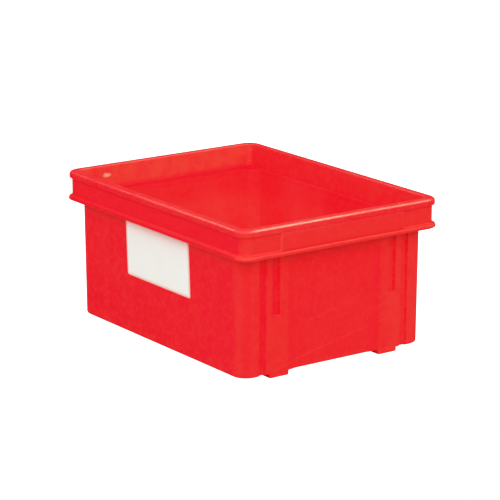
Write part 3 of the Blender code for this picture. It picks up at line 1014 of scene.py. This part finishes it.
def label_white():
    """Matt white paper, thin and reddish along its ragged edge."""
    net = Material("label_matt_white")
    x, _, z = net.components(net.place)
    mid_z = LABEL_Z * MM
    mid_x = (z - mid_z) * (-LABEL_SKEW / LABEL_HEIGHT) + LABEL_X * MM
    from_side = LABEL_WIDTH / 2 * MM - abs(x - mid_x)
    from_top = LABEL_HEIGHT / 2 * MM - abs(z - mid_z)
    edge = from_side.min(from_top)
    tone = net.noise(38.0, detail=4.0)
    fibre = net.noise(1.0, detail=4.0, stretch=(700.0, 700.0, 240.0))
    white = net.mix(tone.ramp(0.35, 0.68), (0.92, 0.955, 0.90), (0.91, 0.935, 0.885))
    white = net.mix(fibre.ramp(0.35, 0.7, last=0.5), white, (0.885, 0.91, 0.86))
    ragged = edge + (net.noise(260.0) - 0.5) * 0.0012
    thin = ragged.ramp(0.0, 0.0042, first=1.0, last=0.0)
    white = net.mix(thin * 0.72, white, (0.93, 0.42, 0.36))
    spots = net.noise(120.0, rough=0.7).ramp(0.68, 0.8) * 0.35
    white = net.mix(spots, white, (0.74, 0.69, 0.62))
    normal = net.bump(net.noise(45.0, rough=0.5), strength=0.35, distance=0.0003)
    net.shade({
        "Base Color": white,
        "Roughness": fibre.ramp(0.3, 0.7, first=0.52, last=0.66),
        "Specular IOR Level": 0.3,
        "Normal": net.bump(fibre, strength=0.35, distance=0.00008, normal=normal),
    })
    return net.mat


def adhesive_film():
    net = Material("label_adhesive_film")
    haze = net.noise(180.0, detail=4.0)
    net.shade({
        "Base Color": net.mix(haze.ramp(0.35, 0.7), (0.90, 0.30, 0.25), (0.93, 0.42, 0.36)),
        "Roughness": haze.ramp(0.3, 0.7, first=0.30, last=0.48),
        "Specular IOR Level": 0.3,
        "Normal": net.bump(haze, strength=0.3, distance=0.00008),
    })
    return net.mat


# ================= pieces ===============================================================

def dress(obj, material, sharp_angle, piece):
    """Gives obj its material and shading, and puts it in the place of a CAD piece."""
    obj.data.materials.clear()
    obj.data.materials.append(material)
    obj.data.shade_smooth()
    obj.data.set_sharp_from_angle(angle=math.radians(sharp_angle))
    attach(obj, "root")
    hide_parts(piece)


body = bin_body()
weighted = body.modifiers.new("weighted_normals", "WEIGHTED_NORMAL")
weighted.keep_sharp = True
weighted.weight = 60
dress(body, bin_plastic(), sharp_angle=38, piece="bin_body")

film = sheet("label_film", grow=FILM_MARGIN, low=0.02, high=0.09, lift=no_lift)
dress(film, adhesive_film(), sharp_angle=45, piece="label_adhesive")

paper = sheet("label_paper", grow=0.0, low=0.12, high=0.36, lift=paper_lift)
dress(paper, label_white(), sharp_angle=50, piece="label_face")


# ================= studio floor =========================================================

FLOOR_RADII = (0.6, 2.0, 6.0, 40.0)
FLOOR_Z = -0.0002            # just clear of the feet
FLOOR_SIDES = 64


def floor_pale():
    """Lifted towards white for the camera, and kept out of the plastic's sheen."""
    net = Material("studio_floor_pale")
    tone = net.noise(3.0, rough=0.5)
    from_camera, glossy = net.rays()
    pale = net.mix(tone, (0.93, 0.93, 0.93), (0.91, 0.91, 0.91))
    net.shade({
        "Base Color": net.mix(from_camera, (0.42, 0.42, 0.42), pale),
        "Roughness": 0.9,
        "Specular IOR Level": 0.0,
    })
    glow = net.filled("ShaderNodeEmission", {"Color": (1.0, 0.985, 0.985), "Strength": 2.3})
    dark = net.filled("ShaderNodeEmission", {"Color": (1.0, 0.85, 0.70), "Strength": 0.10})
    lifted = net.mix_shader(from_camera * 0.58, net.value(net.bsdf), glow)
    surface = net.tree.nodes["Material Output"].inputs["Surface"]
    net.put(surface, net.mix_shader(glossy, lifted, dark))
    return net.mat


def studio_floor():
    bm = bmesh.new()
    rings = []
    for radius in FLOOR_RADII:
        level = []
        for i in range(FLOOR_SIDES):
            angle = i * math.pi / (FLOOR_SIDES / 2)
            level.append(bm.verts.new((radius * math.cos(angle), radius * math.sin(angle),
                                       FLOOR_Z)))
        rings.append(level)
    bm.faces.new(rings[0])
    loft(bm, rings, along_first=False)
    floor = link_closed("studio_floor", bm)
    floor.data.materials.append(floor_pale())


# ================= world and lights =====================================================

FILL_HORIZON, FILL_OVERHEAD = 0.52, 0.80    # strength of the even light
SHEEN = 0.45                                # strength of the ceiling the sheen sees
SHEEN_AIM = (0.25, 0.80, 0.55)              # where that ceiling is brightest


def studio_world():
    world = bpy.data.worlds.new("studio")
    bpy.context.scene.world = world
    world.use_nodes = True
    graph = Graph(world.node_tree)
    graph.tree.nodes.clear()

    def multiply(a, b):
        return graph.filled("ShaderNodeMath", {0: a, 1: b}, operation="MULTIPLY")

    def background(colour, strength):
        return graph.filled("ShaderNodeBackground", {"Color": colour, "Strength": strength})

    from_camera, glossy = graph.rays()
    direction = graph.value(graph.node("ShaderNodeTexCoord"), "Generated")
    upward = graph.components(direction)[2]
    aim = graph.node("ShaderNodeVectorMath", operation="DOT_PRODUCT")
    graph.put(aim.inputs[0], direction)
    graph.put(aim.inputs[1], Vector(SHEEN_AIM).normalized())

    seen = background((1.0, 1.0, 1.0), 1.6)
    # even light for the matt part of the surfaces, a little stronger overhead
    fill = background((1.0, 0.985, 0.985), upward.ramp(0.0, 0.9, FILL_HORIZON, FILL_OVERHEAD))
    # what the sheen sees: dark at the horizon, a warm bright ceiling that is stronger towards +Y
    height = upward.ramp(0.15, 0.60, first=0.10)
    behind = graph.value(aim, "Value").ramp(-0.35, 0.85, first=0.45)
    gloss = background((1.0, 0.80, 0.50), multiply(multiply(height, behind), SHEEN))
    light = graph.mix_shader(glossy, fill, gloss)
    output = graph.node("ShaderNodeOutputWorld")
    graph.put(output.inputs["Surface"], graph.mix_shader(from_camera, light, seen))


def softbox(name, position, target, size, power, colour, sheen_only=False):
    data = bpy.data.lights.new(name, "AREA")
    data.shape = "RECTANGLE"
    data.size, data.size_y = size
    data.energy = power
    data.color = colour
    lamp = bpy.data.objects.new(name, data)
    bpy.context.scene.collection.objects.link(lamp)
    if sheen_only:
        lamp.visible_diffuse = False
        lamp.visible_camera = False
    lamp.location = position
    aim = Vector(target) - Vector(position)
    lamp.rotation_euler = aim.to_track_quat("-Z", "Y").to_euler()


def studio_lights():
    # two large soft lights, before the +X end and the -Y side and well above the rim, so that
    # they also reach inside
    softbox("key_right", position=(2.0, -0.35, 1.75), target=(0.0, 0.0, 0.1), size=(1.9, 1.5),
            power=40.0, colour=(1.0, 0.88, 0.70))
    softbox("key_left", position=(0.35, -1.95, 1.95), target=(0.0, 0.0, 0.1), size=(1.9, 1.5),
            power=34.0, colour=(1.0, 0.97, 1.0))
    # two warm panels that only show as highlights on the rim's shoulders
    softbox("sheen_back", position=(0.95, 1.10, 1.75), target=(0.19, -0.06, 0.19),
            size=(1.3, 1.3), power=92.0, colour=(1.0, 0.80, 0.46), sheen_only=True)
    softbox("sheen_left", position=(-0.40, -0.45, 0.68), target=(0.18, -0.15, 0.19),
            size=(0.40, 0.40), power=5.0, colour=(1.0, 0.80, 0.46), sheen_only=True)


# ================= camera and film ======================================================

CAMERA_PLACE = (2.402976553, -1.706697432, 0.891901105)
AZIMUTH = math.radians(54.567283)       # from -Y towards +X
ELEVATION = math.radians(14.948596)


def studio_camera():
    data = bpy.data.cameras.new("camera")
    data.lens = 173.5373
    data.sensor_width = 36.0
    data.clip_start, data.clip_end = 0.05, 200.0
    camera = bpy.data.objects.new("camera", data)
    bpy.context.scene.collection.objects.link(camera)
    back = Vector((math.sin(AZIMUTH) * math.cos(ELEVATION),
                   -math.cos(AZIMUTH) * math.cos(ELEVATION), math.sin(ELEVATION)))
    right = Vector((math.cos(AZIMUTH), math.sin(AZIMUTH), 0.0))
    up = back.cross(right)
    rows = [tuple(row) for row in zip(right, up, back, CAMERA_PLACE)]
    camera.matrix_world = Matrix((*rows, (0, 0, 0, 1)))
    bpy.context.scene.camera = camera


# Film response as (scene value, shown value): the strong red is rolled off as on an
# over-exposed red, white stays white
REACH = 1.3
RED_RESPONSE = (
    (0.0, 0.0), (0.30, 0.42), (0.50, 0.70), (0.65, 0.805), (0.80, 0.848), (1.0, 0.866),
    (1.12, 0.89), (1.2, 1.0), (REACH, 1.0),
)
PLAIN_RESPONSE = ((0.0, 0.0), (1.0, 1.0), (REACH, 1.0))


def film_response():
    settings = bpy.context.scene.view_settings
    settings.view_transform = "Standard"
    settings.look = "None"
    settings.exposure = 0.0
    settings.gamma = 1.0
    settings.use_curve_mapping = True
    mapping = settings.curve_mapping
    mapping.initialize()
    mapping.black_level = (0.0, 0.0, 0.0)
    mapping.white_level = (REACH, REACH, REACH)
    mapping.extend = "HORIZONTAL"
    for channel, pairs in enumerate((RED_RESPONSE, PLAIN_RESPONSE, PLAIN_RESPONSE)):
        points = mapping.curves[channel].points
        points[0].location = (pairs[0][0] / REACH, pairs[0][1])
        points[1].location = (pairs[-1][0] / REACH, pairs[-1][1])
        for value, shown in pairs[1:-1]:
            points.new(value / REACH, shown)
        for point in points:
            point.handle_type = "VECTOR"
    mapping.update()


studio_floor()
studio_world()
studio_lights()
studio_camera()
film_response()
